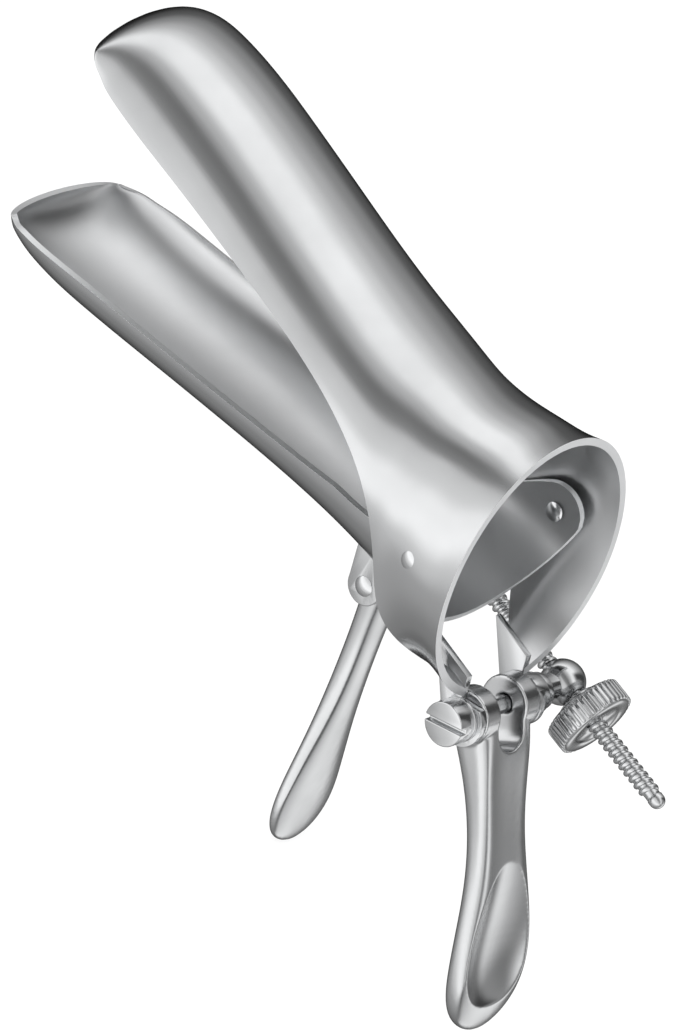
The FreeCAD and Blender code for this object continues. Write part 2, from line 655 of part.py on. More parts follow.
# Threaded rod from the eye, with the plain domed stop at its free end
rod_foot = Vector(rod_side, pin_y, pin_z)
rod_blank = primitive("Part::Cylinder", "RodBlank", rod_foot, to_rod,
                      Radius="Sizes.rod_diameter / 2", Height="Sizes.rod_length")
eye_clear = primitive("Part::Cylinder", "EyeClear", on_pin(rod_side - size("rod_diameter")), to_right,
                      Radius="Sizes.eye_diameter / 2", Height="2 * Sizes.rod_diameter")
keep(cut("ThreadedRod", rod_blank, eye_clear), "threaded_rod")
rod_end = rod_foot + rod_way * size("rod_length")
stop_bar = primitive("Part::Cylinder", "StopBar", rod_end, to_rod,
                     Radius="Sizes.rod_diameter * 0.44", Height="Sizes.stop_length / 2")
stop_dome = primitive("Part::Sphere", "StopDome", rod_end + rod_way * (size("stop_length") / 2), to_rod,
                      Radius="Sizes.rod_diameter * 0.44", Angle1="0")
keep(joined("RodStop", stop_bar, stop_dome), "rod_stop")

# Knurled nut: hub against the ball, thick disc, straight knurls, shallow recess round the bore at the rear
nut = doc.addObject("PartDesign::Body", "KnurledNut")


def origin_plane(body, role):
    return next(feature for feature in body.Origin.OriginFeatures if feature.Role == role)


def circle_sketch(name, radius_text, radius_value, height_text=None, reach_text=None, reach_value=0.0):
    """Circle on the nut's base plane, its radius and reach from the axis bound to the sheet."""
    sketch = nut.newObject("Sketcher::SketchObject", name)
    sketch.AttachmentSupport = [(origin_plane(nut, "XY_Plane"), "")]
    sketch.MapMode = "FlatFace"
    sketch.addGeometry(Part.Circle(Vector(reach_value, 0, 0), Vector(0, 0, 1), radius_value))
    if reach_text:
        sketch.addConstraint(Sketcher.Constraint("PointOnObject", 0, 3, -1))
        number = sketch.addConstraint(Sketcher.Constraint("DistanceX", -1, 1, 0, 3, reach_value))
        sketch.setExpression("Constraints[%d]" % number, reach_text)
    else:
        sketch.addConstraint(Sketcher.Constraint("Coincident", 0, 3, -1, 1))
    number = sketch.addConstraint(Sketcher.Constraint("Radius", 0, radius_value))
    sketch.setExpression("Constraints[%d]" % number, radius_text)
    if height_text:
        sketch.setExpression("AttachmentOffset.Base.z", height_text)
    doc.recompute()
    return sketch


def nut_feature(kind, name, sketch, length_text, backwards=False):
    feature = nut.newObject(kind, name)
    feature.Profile = sketch
    feature.setExpression("Length", length_text)
    feature.Reversed = backwards
    doc.recompute()
    return feature


nut_half = size("nut_diameter") / 2
hub_pad = nut_feature("PartDesign::Pad", "NutHub",
                      circle_sketch("NutHubCircle", "Sizes.nut_hub / 2", size("nut_hub") / 2),
                      "Sizes.nut_hub_length + Sizes.nut_wall / 2")
disc_pad = nut_feature("PartDesign::Pad", "NutDisc",
                       circle_sketch("NutDiscCircle", "Sizes.nut_diameter / 2", nut_half, "Sizes.nut_hub_length"),
                       "Sizes.nut_wall")
rim_edges = [
    "Edge%d" % (index + 1) for index, edge in enumerate(disc_pad.Shape.Edges)
    if edge.isClosed() and abs(edge.BoundBox.XLength - 2 * nut_half) < 0.01
]
chamfer = nut.newObject("PartDesign::Chamfer", "NutEdges")
chamfer.Base = (disc_pad, rim_edges)
chamfer.setExpression("Size", "Sizes.nut_edge")
doc.recompute()
recess = nut_feature("PartDesign::Pocket", "NutRecess",
                     circle_sketch("NutRecessCircle", "Sizes.nut_recess / 2", size("nut_recess") / 2,
                                   "Sizes.nut_hub_length + Sizes.nut_wall"),
                     "Sizes.nut_recess_depth")
bore = nut_feature("PartDesign::Pocket", "NutBore",
                   circle_sketch("NutBoreCircle", "Sizes.rod_diameter / 2 + Sizes.rod_play",
                                 size("rod_diameter") / 2 + size("rod_play"),
                                 "Sizes.nut_hub_length + Sizes.nut_wall"),
                   "Sizes.nut_hub_length + Sizes.nut_wall + 1")
groove = nut_feature("PartDesign::Pocket", "NutGroove",
                     circle_sketch("NutGrooveCircle", "Sizes.knurl_round", size("knurl_round"),
                                   "Sizes.nut_hub_length + Sizes.nut_wall", "Sizes.nut_diameter / 2", nut_half),
                     "Sizes.nut_wall")
knurls = nut.newObject("PartDesign::PolarPattern", "NutKnurls")
knurls.Originals = [groove]
knurls.Axis = (groove.Profile[0], ["N_Axis"])
knurls.Angle = 360
knurls.Occurrences = int(size("knurl_count"))
nut.Tip = knurls
doc.recompute()
for before, after in ((disc_pad, chamfer), (chamfer, recess), (recess, bore), (bore, groove), (groove, knurls)):
    if after.Shape.Volume >= before.Shape.Volume:
        raise RuntimeError("nothing was cut: " + after.Label)
nut_start = size("ball_diameter") / 2 + size("turning_gap")
nut.Placement = FreeCAD.Placement(on_hinge(rod_side) + rod_way * nut_start, to_rod)
keep(nut, "knurled_nut")

doc.recompute()
for item in doc.Objects:
    if "Invalid" in item.State or "Error" in item.State:
        raise RuntimeError("failed object: " + item.Label)
for item in nodes:
    if item.Shape.isNull() or not item.Shape.isValid() or len(item.Shape.Solids) != 1:
        raise RuntimeError("bad shape: " + item.Label)
for item in nodes:
    item.Shape.exportStep("parts/%s.step" % item.Label)
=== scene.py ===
import math

import bmesh
import bpy
import numpy as np
from mathutils import Matrix, Vector


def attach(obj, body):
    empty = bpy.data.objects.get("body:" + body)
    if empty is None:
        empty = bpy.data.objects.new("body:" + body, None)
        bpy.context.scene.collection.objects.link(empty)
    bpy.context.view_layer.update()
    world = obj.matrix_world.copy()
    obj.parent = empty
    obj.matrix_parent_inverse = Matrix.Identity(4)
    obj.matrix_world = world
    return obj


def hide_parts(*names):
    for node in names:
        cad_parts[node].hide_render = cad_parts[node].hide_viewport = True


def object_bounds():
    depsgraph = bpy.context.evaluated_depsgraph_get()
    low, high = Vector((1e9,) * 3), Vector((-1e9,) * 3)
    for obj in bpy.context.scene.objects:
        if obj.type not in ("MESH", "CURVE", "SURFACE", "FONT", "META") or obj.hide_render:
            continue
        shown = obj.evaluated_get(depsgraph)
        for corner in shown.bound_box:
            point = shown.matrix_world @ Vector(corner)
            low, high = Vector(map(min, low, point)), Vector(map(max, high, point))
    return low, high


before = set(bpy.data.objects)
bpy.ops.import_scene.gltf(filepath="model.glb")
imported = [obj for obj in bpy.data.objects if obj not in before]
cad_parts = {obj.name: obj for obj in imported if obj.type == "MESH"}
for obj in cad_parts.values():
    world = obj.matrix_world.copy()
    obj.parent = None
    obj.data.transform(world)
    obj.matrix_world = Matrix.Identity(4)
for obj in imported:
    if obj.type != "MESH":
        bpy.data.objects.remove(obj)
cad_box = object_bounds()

# Upper valve: the long fixed blade and the collar are one sheet of stainless steel, 1.3 mm thick.
# It is hammered over a form, its edges are ground round and it is buffed to a polish with a little haze.
# Every size is in millimetres and turned to metres where a mesh is made.
MM = 0.001
COLLAR_HALF = 20.1
BLADE_ROUND = 19.0
RIM_FLARE = 2.1
UPPER_WALL = 1.3
RIM_TOP = np.array((0.0, 0.2, 23.7))
RIM_FOOT = np.array((0.0, -17.2, -16.6))


def between(low, high, share):
    """Value at a share of the way from low to high."""
    return low + (high - low) * share


# A station is crown (y, z), edge (y, z), half width, crown depth and the turn in degrees where the edge lies
UPPER_STATIONS = [
    ((-1.2, 24.8), (-18.6, -16.9), COLLAR_HALF + RIM_FLARE, 24.2, 160.0),
    ((3.2, 22.0), (-12.4, -16.5), COLLAR_HALF + 1.0, 23.2, 155.0),
    ((7.2, 20.1), (-6.6, -15.5), COLLAR_HALF + 0.3, 21.8, 137.0),
    ((11.4, 18.2), (-1.0, -12.3), between(BLADE_ROUND, COLLAR_HALF, 0.75), 20.3, 116.0),
    ((16.0, 16.4), (4.6, -6.4), between(BLADE_ROUND, COLLAR_HALF, 0.5), 19.4, 100.0),
    ((21.5, 15.1), (11.6, -0.9), between(BLADE_ROUND, COLLAR_HALF, 0.25), 19.4, 90.0),
    ((29.0, 14.2), (21.6, 2.9), between(BLADE_ROUND, COLLAR_HALF, 0.1), 17.6, 90.0),
    ((40.0, 13.9), (36.0, 4.5), BLADE_ROUND + 0.2, 17.2, 90.0),
    ((55.0, 14.4), (54.0, 4.8), BLADE_ROUND + 0.3, 17.4, 90.0),
    ((70.0, 15.0), (70.0, 4.7), BLADE_ROUND + 0.3, 17.9, 90.0),
    ((82.0, 14.9), (81.5, 4.4), BLADE_ROUND + 0.3, 18.2, 90.0),
    ((88.6, 14.1), (86.8, 4.2), BLADE_ROUND - 0.3, 17.0, 90.0),
    ((92.8, 12.8), (89.8, 4.2), BLADE_ROUND - 1.1, 14.6, 90.0),
    ((95.6, 11.0), (91.8, 4.3), BLADE_ROUND - 2.1, 11.5, 90.0),
    ((97.2, 9.2), (93.2, 4.3), BLADE_ROUND - 2.9, 8.7, 90.0),
    ((98.1, 7.4), (94.2, 4.4), BLADE_ROUND - 3.6, 6.3, 90.0),
    ((98.4, 5.9), (94.9, 4.5), BLADE_ROUND - 4.2, 4.6, 90.0),
    ((98.4, 5.0), (95.2, 4.6), BLADE_ROUND - 4.5, 3.9, 90.0),
]


def curve_through(knots, values, places):
    """Natural cubic curve through rows of values at knots, read at places."""
    knots, values, places = np.asarray(knots, float), np.asarray(values, float), np.asarray(places, float)
    gaps = np.diff(knots)
    slopes = np.diff(values, axis=0) / gaps[:, None]
    count = len(knots)
    matrix, pull = np.eye(count), np.zeros(values.shape)
    for index in range(1, count - 1):
        matrix[index, index - 1:index + 2] = gaps[index - 1], 2 * (gaps[index - 1] + gaps[index]), gaps[index]
        pull[index] = 6 * (slopes[index] - slopes[index - 1])
    bends = np.linalg.solve(matrix, pull)
    spot = np.clip(np.searchsorted(knots, places) - 1, 0, count - 2)
    gap = gaps[spot][:, None]
    ahead = (knots[spot + 1] - places)[:, None] / gap
    behind = 1 - ahead
    bend = (ahead ** 3 - ahead) * bends[spot] + (behind ** 3 - behind) * bends[spot + 1]
    return ahead * values[spot] + behind * values[spot + 1] + bend * gap ** 2 / 6


def section(station, shares, ceiling):
    """Half-round section from the left edge over the crown to the right edge, kept under a ceiling."""
    crown, edge, (half_width, crown_depth, edge_turn) = station[0:2], station[2:4], station[4:]
    depth = np.linalg.norm(edge - crown)
    down = (edge - crown) / depth
    lower_depth = crown_depth
    if depth > crown_depth:
        lower_depth = (crown_depth - depth) / math.cos(math.radians(edge_turn))
    end_depth = min(depth, ceiling(crown[0]) - crown[1]) if ceiling else depth
    deep = lower_depth if end_depth > crown_depth else crown_depth
    turns = shares * math.acos(np.clip((crown_depth - end_depth) / deep, -1, 1))
    below = crown_depth - np.where(np.abs(turns) > math.pi / 2, lower_depth, crown_depth) * np.cos(turns)
    across = half_width * np.sin(turns)
    return np.column_stack([across, crown[0] + down[0] * below, crown[1] + down[1] * below])


# Mesh of a sheet: how many stations, rows and columns it has, and how they crowd to the rear and to the crown
STATION_COUNT = 420
ROW_COUNT = 170
COLUMN_COUNT = 121
REAR_CROWDING = 1.1
CROWN_CROWDING = 0.75
EVENING_ROUNDS = 10


def trimmed(grid, inside):
    """Each column starts where it comes inside the outline."""
    new = np.zeros((ROW_COUNT, grid.shape[1], 3))
    for column in range(grid.shape[1]):
        line = grid[:, column]
        level = inside(line)
        first = int(np.argmax(level > 0))
        start = first - level[first] / (level[first] - level[first - 1]) if first else 0.0
        spots = between(start, len(line) - 1.0, np.linspace(0, 1, ROW_COUNT) ** REAR_CROWDING)
        for axis in range(3):
            new[:, column, axis] = np.interp(spots, np.arange(len(line)), line[:, axis])
    return new


def sheet_piece(name, stations, wall, inside, ceiling=None):
    """Closed sheet of one thickness with square edges, which round_edges rounds later; material 1 is on its
    edges, 2 on its inside.
    """
    table = np.array([(*crown, *edge, *rest) for crown, edge, *rest in stations])
    steps = np.diff(table, axis=0)
    steps = (np.hypot(steps[:, 0], steps[:, 1]) + np.hypot(steps[:, 2], steps[:, 3])) / 2
    knots = np.concatenate([[0], np.cumsum(steps)])
    dense = curve_through(knots, table, np.linspace(0, knots[-1], STATION_COUNT))
    even = np.linspace(-1, 1, COLUMN_COUNT)
    shares = even * between(CROWN_CROWDING, 1.0, even ** 2)
    outer = np.array([section(station, shares, ceiling) for station in dense])
    normals = np.cross(np.gradient(outer, axis=0), np.gradient(outer, axis=1))
    # The tip's corners have no clear direction of their own, so they take it from the places beside them
    for _ in range(EVENING_ROUNDS):
        wide = np.pad(normals, ((1, 1), (1, 1), (0, 0)), mode="edge")
        normals = (wide[:-2, 1:-1] + wide[2:, 1:-1] + wide[1:-1, :-2] + wide[1:-1, 2:]) / 4
    normals /= np.linalg.norm(normals, axis=2)[:, :, None]
    middle = COLUMN_COUNT // 2
    inward = (outer[0, 0] - outer[0, middle]) * (0, 1, 1)
    sign = math.copysign(1.0, normals[0, middle] @ inward)
    inner = trimmed(outer + normals * (sign * wall), inside)
    outer = trimmed(outer, inside)
    count = ROW_COUNT * COLUMN_COUNT
    points = np.concatenate([outer.reshape(-1, 3), inner.reshape(-1, 3)]) * MM
    index = np.arange(count).reshape(ROW_COUNT, COLUMN_COUNT)
    quads = []
    for layer, back in ((index, False), (index + count, True)):
        corners = [layer[:-1, :-1], layer[1:, :-1], layer[1:, 1:], layer[:-1, 1:]]
        quad = np.stack(corners, axis=-1).reshape(-1, 4)
        quads.append(quad[:, ::-1] if back else quad)
    border = np.concatenate([index[0, :-1], index[:-1, -1], index[-1, :0:-1], index[:0:-1, 0]])
    following = np.roll(border, -1)
    quads.append(np.stack([border, following, following + count, border + count], axis=-1))
    faces = np.concatenate(quads)
    mesh = bpy.data.meshes.new(name)
    mesh.from_pydata(points.tolist(), [], faces.tolist())
    # Outer faces take finish 0, inside faces finish 2 with its painted light, and the edge strip finish 1 with
    # its painted highlight.
    finish = np.repeat((0, 2, 1), [len(layer) for layer in quads]).astype(np.int32)
    mesh.polygons.foreach_set("material_index", finish)
    return new_piece(name, mesh, merge=False)


SAME_POINT = 0.002


def new_piece(name, mesh, merge=True):
    """Object with outward faces and smooth shading, at the origin."""
    work = bmesh.new()
    work.from_mesh(mesh)
    if merge:
        bmesh.ops.remove_doubles(work, verts=work.verts, dist=SAME_POINT * MM)
    bmesh.ops.recalc_face_normals(work, faces=work.faces)
    work.to_mesh(mesh)
    work.free()
    mesh.polygons.foreach_set("use_smooth", np.ones(len(mesh.polygons), dtype=bool))
    piece = bpy.data.objects.new(name, mesh)
    bpy.context.scene.collection.objects.link(piece)
    return piece


def round_edges(piece, width, segments=2, angle=35, finish=-1):
    """Break every sharp edge; finish is the new faces' material number, or -1 for the one beside them."""
    bevel = piece.modifiers.new("ground_edges", "BEVEL")
    bevel.width = width * MM
    bevel.segments = segments
    bevel.limit_method = "ANGLE"
    bevel.angle_limit = math.radians(angle)
    bevel.use_clamp_overlap = True
    bevel.material = finish
    bevel.harden_normals = True
    bake_modifiers(piece)


def bake_modifiers(piece):
    """Turn a piece and its modifiers into one plain mesh."""
    done = bpy.data.meshes.new_from_object(piece.evaluated_get(bpy.context.evaluated_depsgraph_get()))
    piece.modifiers.clear()
    piece.data = done


def ahead_of_rim(line):
    """Distance in front of the collar's flat rear rim."""
    up = (RIM_TOP - RIM_FOOT) / np.linalg.norm(RIM_TOP - RIM_FOOT)
    return (line - RIM_FOOT) @ np.array((0.0, up[2], -up[1]))


def colour(code):
    """Linear colour from an sRGB hex value."""
    levels = [int(code[place:place + 2], 16) / 255 for place in (1, 3, 5)]
    linear = [level / 12.92 if level <= 0.04045 else ((level + 0.055) / 1.055) ** 2.4 for level in levels]
    return (*linear, 1.0)


def add_node(tree, kind, settings=None, inputs=None):
    """Add one node; inputs are plain values or sockets to link from, by socket name or number."""
    item = tree.nodes.new(kind)
    for name, value in (settings or {}).items():
        setattr(item, name, value)
    for name, value in (inputs or {}).items():
        if isinstance(value, bpy.types.NodeSocket):
            tree.links.new(value, item.inputs[name])
        else:
            item.inputs[name].default_value = value
    return item


def steel(name, light, dark, roughness, haze, grain, stretch, depth):
    """Metal shader: two close colours, a hazy gloss and fine finishing lines.
    haze is the change of roughness, grain the lines' spacing, and depth their height.
    stretch is how many times the spacing a line is long, along each axis.
    """
    material = bpy.data.materials.new(name)
    material.use_nodes = True
    tree = material.node_tree
    shader = tree.nodes["Principled BSDF"]
    place = add_node(tree, "ShaderNodeTexCoord")
    cloud_size = 14 * MM
    cloud = add_node(tree, "ShaderNodeTexNoise", inputs={
        "Vector": place.outputs["Object"], "Scale": 1 / cloud_size, "Detail": 4.0, "Roughness": 0.55})
    tint = add_node(tree, "ShaderNodeMix", {"data_type": "RGBA"}, {
        "Factor": cloud.outputs["Fac"], "A": colour(light), "B": colour(dark)})
    tree.links.new(tint.outputs["Result"], shader.inputs["Base Color"])
    gloss = add_node(tree, "ShaderNodeMapRange", inputs={
        "Value": cloud.outputs["Fac"], "From Min": 0.3, "From Max": 0.7,
        "To Min": roughness - haze, "To Max": roughness + haze})
    tree.links.new(gloss.outputs["Result"], shader.inputs["Roughness"])
    lined = add_node(tree, "ShaderNodeMapping", inputs={
        "Vector": place.outputs["Object"],
        "Scale": tuple(1 / (grain * MM * way) for way in stretch)})
    lines = add_node(tree, "ShaderNodeTexNoise", inputs={
        "Vector": lined.outputs["Vector"], "Scale": 1.0, "Detail": 3.0})
    bump = add_node(tree, "ShaderNodeBump", inputs={
        "Height": lines.outputs["Fac"], "Distance": depth * MM, "Strength": 1.0})
    tree.links.new(bump.outputs["Normal"], shader.inputs["Normal"])
    shader.inputs["Metallic"].default_value = 1.0
    return material


# Buffed stainless sheet: soft broad highlights with a faint haze, lines along the blade from the buffing wheel
buffed_sheet = steel(
    "buffed_stainless_sheet", "#D5D6D7", "#C6C7C8",
    roughness=0.17, haze=0.05, grain=0.5, stretch=(1, 40, 1), depth=0.003)
# Sheet edges: they really are ground round and rougher, but their near-white colour is a painted highlight, a
# bright line along every edge.
painted_highlight_edge = steel(
    "stainless_edge_with_painted_highlight", "#F6F7F8", "#EEEFF0",
    roughness=0.5, haze=0.04, grain=0.3, stretch=(1, 10, 1), depth=0.0005)
# Inside faces: the satin finish and its roughness are real, but their colour, lighter than the outer face's,
# is painted light that lifts the shade in the troughs and the collar.
satin_inside_painted_light = steel(
    "satin_stainless_inside_painted_light", "#DFE0E1", "#D3D4D5",
    roughness=0.33, haze=0.03, grain=0.5, stretch=(1, 40, 1), depth=0.002)
sheet_finishes = (buffed_sheet, painted_highlight_edge, satin_inside_painted_light)

upper_valve = sheet_piece("upper_valve_sheet", UPPER_STATIONS, UPPER_WALL, ahead_of_rim)
for finish in sheet_finishes:
    upper_valve.data.materials.append(finish)
# The rounded edges take finish 1, whose near-white colour is a painted highlight.
round_edges(upper_valve, width=0.3, segments=3, angle=50, finish=1)
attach(upper_valve, "upper_valve_group")
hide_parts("upper_valve")

# Collar lugs and side rivets: flat cheeks brazed to the collar's ends, and two flush rivets with low domes.
# Both are stainless steel; the cheeks are polished flat and the rivet heads are bright.
rivet_metal = steel(
    "bright_stainless_rivet", "#DDDEDF", "#D1D2D3",
    roughness=0.16, haze=0.04, grain=0.3, stretch=(1, 1, 1), depth=0.002)
FLAT_DEGREES = 0.6


def dressed_node(node, finish, body, width=0.15, segments=2):
    """Merged, smooth copy of a frame node with its edges broken, standing for it."""
    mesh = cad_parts[node].data.copy()
    mesh.materials.clear()
    piece = new_piece(node + "_metal", mesh)
    work = bmesh.new()
    work.from_mesh(mesh)
    bmesh.ops.dissolve_limit(work, angle_limit=math.radians(FLAT_DEGREES), verts=work.verts, edges=work.edges)
    work.to_mesh(mesh)
    work.free()
    mesh.materials.append(finish)
    round_edges(piece, width, segments)
    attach(piece, body)
    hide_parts(node)


for side in ("left", "right"):
    dressed_node(side + "_collar_lug", buffed_sheet, "upper_valve_group", width=0.25)
    dressed_node(side + "_valve_rivet", rivet_metal, "upper_valve_group", width=0.05)

# Hinge screw: a slotted cheese head, its washer and the lock ring at the far end, all turned from bar.
# Turning leaves fine rings, and the head's rim and slot are bright where they were polished last.
turned_metal = steel(
    "turned_stainless", "#D7D8D9", "#C6C7C8",
    roughness=0.18, haze=0.04, grain=0.18, stretch=(1, 12, 12), depth=0.003)
for node in ("hinge_screw", "screw_washer", "lock_ring"):
    dressed_node(node, turned_metal, "upper_valve_group", width=0.2, segments=3)

# Lower valve: the shorter trough with two rounded ears inside the collar, stainless sheet 1 mm thick.
# It is drawn with the valves closed and turned open about the rivets.
OPENING = math.radians(17.0)
LOWER_WALL = 1.0
EAR_HALF = 17.98
EAR_ROUND = 5.0
LOWER_STATIONS = [
    ((-7.0, -16.0), (-7.0, 6.0), EAR_HALF - 0.2, 16.3, 106.0),
    ((-1.0, -15.5), (-1.0, 6.0), EAR_HALF, 15.8, 106.0),
    ((5.0, -14.4), (5.0, 4.6), EAR_HALF - 0.4, 14.8, 105.0),
    ((12.0, -12.9), (12.0, 1.2), EAR_HALF - 0.9, 13.6, 100.0),
    ((20.0, -11.7), (20.0, -0.4), EAR_HALF - 1.3, 12.6, 90.0),
    ((30.0, -10.8), (30.0, -0.8), EAR_HALF - 1.5, 11.6, 90.0),
    ((45.0, -10.2), (45.0, -0.9), EAR_HALF - 1.5, 10.8, 90.0),
    ((60.0, -10.0), (60.0, -0.8), EAR_HALF - 1.5, 10.4, 90.0),
    ((75.0, -9.8), (75.0, -0.7), EAR_HALF - 1.5, 10.2, 90.0),
    ((84.0, -8.9), (83.2, -0.8), EAR_HALF - 1.6, 9.4, 90.0),
    ((89.0, -7.7), (86.4, -0.9), EAR_HALF - 2.0, 8.5, 90.0),
    ((92.2, -6.1), (88.6, -0.9), EAR_HALF - 2.4, 7.4, 90.0),
    ((94.1, -4.5), (90.3, -1.0), EAR_HALF - 3.0, 6.1, 90.0),
    ((95.0, -3.1), (91.5, -1.0), EAR_HALF - 3.7, 4.9, 90.0),
    ((95.3, -2.0), (92.2, -1.0), EAR_HALF - 4.2, 3.9, 90.0),
    ((95.3, -1.3), (92.5, -1.1), EAR_HALF - 4.4, 3.4, 90.0),
]
NECK_PLACES = (2.5, 5.2, 8.1, 11.0, 14.0, 20.0, 30.0, 60.0, 100.0)
NECK_HEIGHTS = (4.33, 2.4, 0.25, -0.45, -0.6, -0.3, 0.3, 2.3, 5.0)
REAR_PLACES = (-0.6, -1.8, -3.4, -EAR_ROUND)
REAR_HEIGHTS = (-19.0, -12.0, -6.0, 0.0)


def ear_top(place):
    """Height of the side view's upper outline: the round ear, then the hollow neck behind the trough."""
    if place < NECK_PLACES[0]:
        return math.sqrt(max(0.0, EAR_ROUND ** 2 - place ** 2))
    return curve_through(NECK_PLACES, [[height] for height in NECK_HEIGHTS], [place])[0, 0]


def ahead_of_rear_edge(line):
    """Distance in front of the ears' rear outline."""
    return line[:, 1] - np.interp(line[:, 2], REAR_HEIGHTS, REAR_PLACES)


lower_valve = sheet_piece("lower_valve_sheet", LOWER_STATIONS, LOWER_WALL, ahead_of_rear_edge, ear_top)
lower_valve.data.transform(Matrix.Rotation(-OPENING, 4, "X"))
for finish in sheet_finishes:
    lower_valve.data.materials.append(finish)
# The rounded edges take finish 1, whose near-white colour is a painted highlight.
round_edges(lower_valve, width=0.22, segments=3, angle=50, finish=1)
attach(lower_valve, "lower_valve_group")
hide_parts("lower_valve")

# Lever knuckle: two cheeks brazed under the lower valve, the long pin through them and the spacer on it.
# The cheeks are flat polished stainless steel with soft edges, and the pin and its spacer are turned from bar.
for side in ("left", "right"):
    cheek = side + "_lever_cheek"
    dressed_node(cheek, buffed_sheet, "lower_valve_group", width=0.3, segments=3)
dressed_node("lever_pin", rivet_metal, "lower_valve_group", width=0.06)
dressed_node("rod_spacer", turned_metal, "lower_valve_group", width=0.15)

# Front lever and rear handle: drop forgings of stainless steel, filed smooth and polished all over.
# Every edge is soft, as polishing leaves it, and the thumb dish is ground into the handle's rear face.
forged_metal = steel(
    "polished_stainless_forging", "#D3D4D5", "#C3C4C5",
    roughness=0.21, haze=0.05, grain=0.6, stretch=(1, 8, 8), depth=0.002)
FORGING_VOXEL = 0.24
FORGING_ROUNDS = 6


def polished_forging(node, body):
    """Frame node remeshed evenly and smoothed, so that its edges are round like a polished forging's."""
    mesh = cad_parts[node].data.copy()
    mesh.materials.clear()
    piece = new_piece(node + "_forging", mesh)
    remesh = piece.modifiers.new("even_faces", "REMESH")
    remesh.mode = "VOXEL"
    remesh.voxel_size = FORGING_VOXEL * MM
    remesh.use_smooth_shade = True
    soften = piece.modifiers.new("soft_edges", "SMOOTH")
    soften.factor = 0.5
    soften.iterations = FORGING_ROUNDS
    bake_modifiers(piece)
    piece.data.materials.append(forged_metal)
    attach(piece, body)
    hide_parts(node)


polished_forging("front_lever", "front_lever_group")
polished_forging("rear_handle", "rear_handle_group")

# Swivel post and rod eye: both are turned from stainless bar and polished.
# The post's drilled ball carries the rod past the hinge, and the eye turns on the long end of the lever pin.
dressed_node("swivel_post", turned_metal, "swivel_group", width=0.12)
dressed_node("rod_eye", turned_metal, "rod_group", width=0.2)

# Threaded rod: a coarse rounded thread cut on a 3 mm stainless bar.
# The thread is a ridge swept along a spiral round the core, made by Geometry Nodes and kept as a plain mesh.
HINGE = Vector((0.0, -19.4, -19.7))
PIN = Vector((0.0, 7.103, -20.889))
ROD_SIDE = 18.4
ROD_LENGTH = 50.0
ROD_ROUND = 1.5
EYE_ROUND = 3.2
EYE_NECK = 4.0
CORE_START = 2.6
STEP_ROUND = 1.2
THREAD_PITCH = 1.3
THREAD_HEIGHT = 0.42
THREAD_STOP = 0.6
RIDGE_ROUND = THREAD_PITCH * 0.4
rod_way = (HINGE - PIN).normalized()
rod_foot = Vector((ROD_SIDE, PIN.y, PIN.z))
thread_metal = steel(
    "cut_stainless_thread", "#D8D9DA", "#CACBCC",
    roughness=0.24, haze=0.05, grain=0.2, stretch=(1, 6, 1), depth=0.003)


def frame_on(place, way):
    """Matrix that puts a turned piece's Z axis along a direction at a place given in millimetres."""
    return Matrix.Translation(place * MM) @ way.to_track_quat("Z", "X").to_matrix().to_4x4()


def lathe(name, profile, place, way, sides=72):
    """Turned piece from pairs of radius and height along its axis."""
    work = bmesh.new()
    turns = [math.tau * side / sides for side in range(sides)]
    rings = []
    for radius, height in profile:
        spots = [(radius * MM * math.cos(turn), radius * MM * math.sin(turn), height * MM) for turn in turns]
        rings.append([work.verts.new(spot) for spot in spots])
    for low, high in zip(rings, rings[1:]):
        for side in range(sides):
            after = (side + 1) % sides
            work.faces.new((low[side], low[after], high[after], high[side]))
    work.faces.new(rings[0])
    work.faces.new(rings[-1])
    work.transform(frame_on(place, way))
    mesh = bpy.data.meshes.new(name)
    work.to_mesh(mesh)
    work.free()
    return new_piece(name, mesh)


def sized_tree(name, sizes):
    """New Geometry Nodes tree with a named input for each size, and the node that reads these inputs."""
    tree = bpy.data.node_groups.new(name, "GeometryNodeTree")
    for label, size in sizes.items():
        kind = "NodeSocketInt" if isinstance(size, int) else "NodeSocketFloat"
        tree.interface.new_socket(label, in_out="INPUT", socket_type=kind)
    return tree, add_node(tree, "NodeGroupInput")


def node_mesh(name, tree, sizes, material):
    """Plain mesh object made by a Geometry Nodes tree with these sizes; its modifier is removed."""
    piece = bpy.data.objects.new(name, bpy.data.meshes.new(name))
    bpy.context.scene.collection.objects.link(piece)
    make = piece.modifiers.new("make", "NODES")
    make.node_group = tree
    for socket in tree.interface.items_tree:
        if socket.in_out == "INPUT":
            make[socket.identifier] = sizes[socket.name]
    bake_modifiers(piece)
    piece.data.materials.clear()
    piece.data.materials.append(material)
    return piece


def closed_tree(last, material):
    """Send a node's geometry out as real mesh with one material."""
    tree = last.id_data
    real = add_node(tree, "GeometryNodeRealizeInstances", inputs={"Geometry": last.outputs[0]})
    dress = add_node(tree, "GeometryNodeSetMaterial", inputs={"Geometry": real.outputs[0]})
    dress.inputs["Material"].default_value = material
    tree.interface.new_socket("Geometry", in_out="OUTPUT", socket_type="NodeSocketGeometry")
    add_node(tree, "NodeGroupOutput", inputs={0: dress.outputs[0]})
    return tree


def thread_tree(sizes):
    """Spiral ridge of the rod's thread along Z, from height 0."""
    tree, size = sized_tree("thread", sizes)
    spiral = add_node(tree, "GeometryNodeCurveSpiral", inputs={
        "Resolution": 26, "Rotations": size.outputs["Turns"], "Start Radius": size.outputs["Spiral radius"],
        "End Radius": size.outputs["Spiral radius"], "Height": size.outputs["Length"]})
    ridge = add_node(tree, "GeometryNodeCurvePrimitiveCircle", inputs={
        "Resolution": 10, "Radius": size.outputs["Ridge radius"]})
    sweep = add_node(tree, "GeometryNodeCurveToMesh", inputs={
        "Curve": spiral.outputs[0], "Profile Curve": ridge.outputs[0], "Fill Caps": True})
    smooth = add_node(tree, "GeometryNodeSetShadeSmooth", inputs={0: sweep.outputs[0]})
    return closed_tree(smooth, thread_metal)


